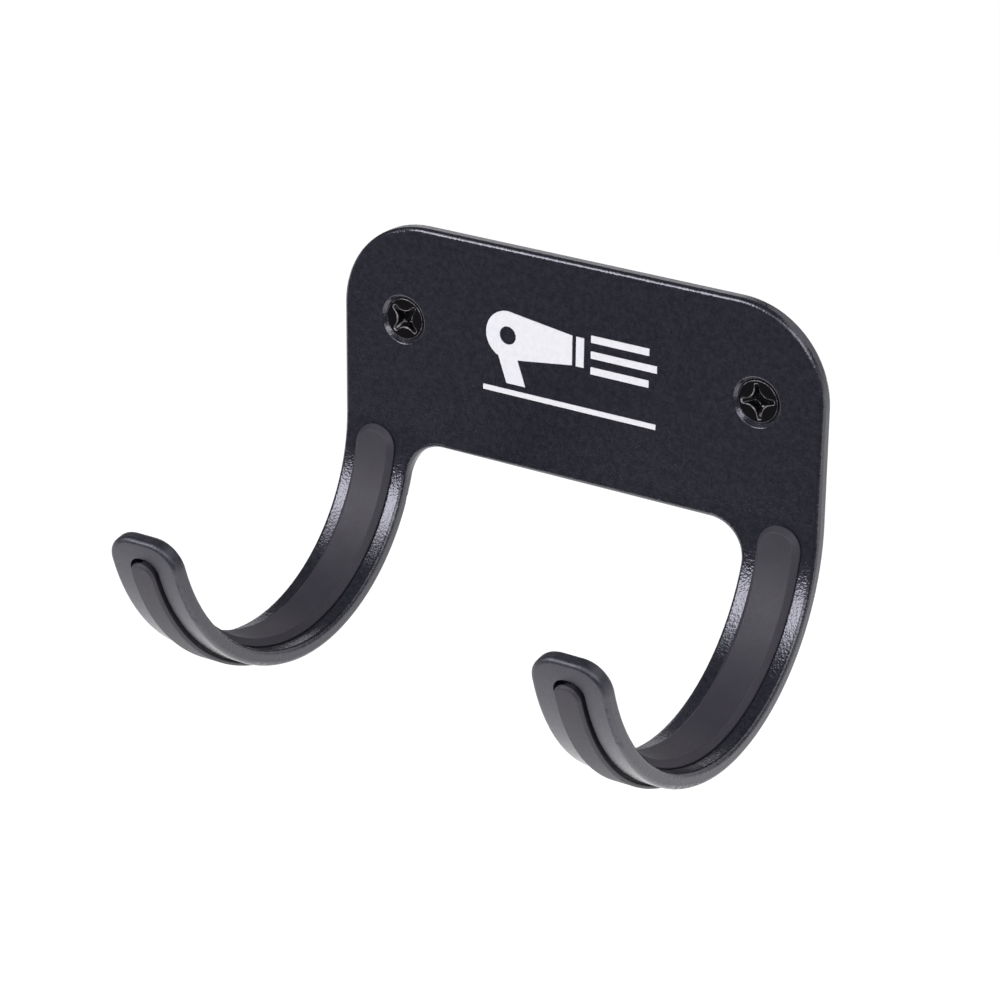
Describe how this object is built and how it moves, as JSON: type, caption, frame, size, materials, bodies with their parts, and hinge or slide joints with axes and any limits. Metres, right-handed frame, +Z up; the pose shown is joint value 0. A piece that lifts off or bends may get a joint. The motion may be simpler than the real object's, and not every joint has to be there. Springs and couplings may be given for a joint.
{
  "type": "hair dryer holder",
  "caption": "Wall-mounted holder: a bent steel plate with J hooks that cradle a hair dryer's barrel while its handle hangs between them.",
  "frame": {"origin": "on the wall plane, midway between the two screw axes", "axes": "+Z up, +Y into the wall along the screws, -Y out into the room, +X to the right as seen from the room"},
  "size_m": [0.1106, 0.1, 0.0819],
  "materials": {
    "powder_coat": "fine-textured black powder coat",
    "silicone": "satin grey-black silicone",
    "screw_black": "glossy black oxide",
    "white_ink": "matt white screen print"
  },
  "bodies": {
    "root": {"hook_bracket": "powder_coat", "left_hook_liner": "silicone", "right_hook_liner": "silicone", "left_wall_screw": "screw_black", "right_wall_screw": "screw_black", "printed_mark": "white_ink"}
  },
  "joints": []
}
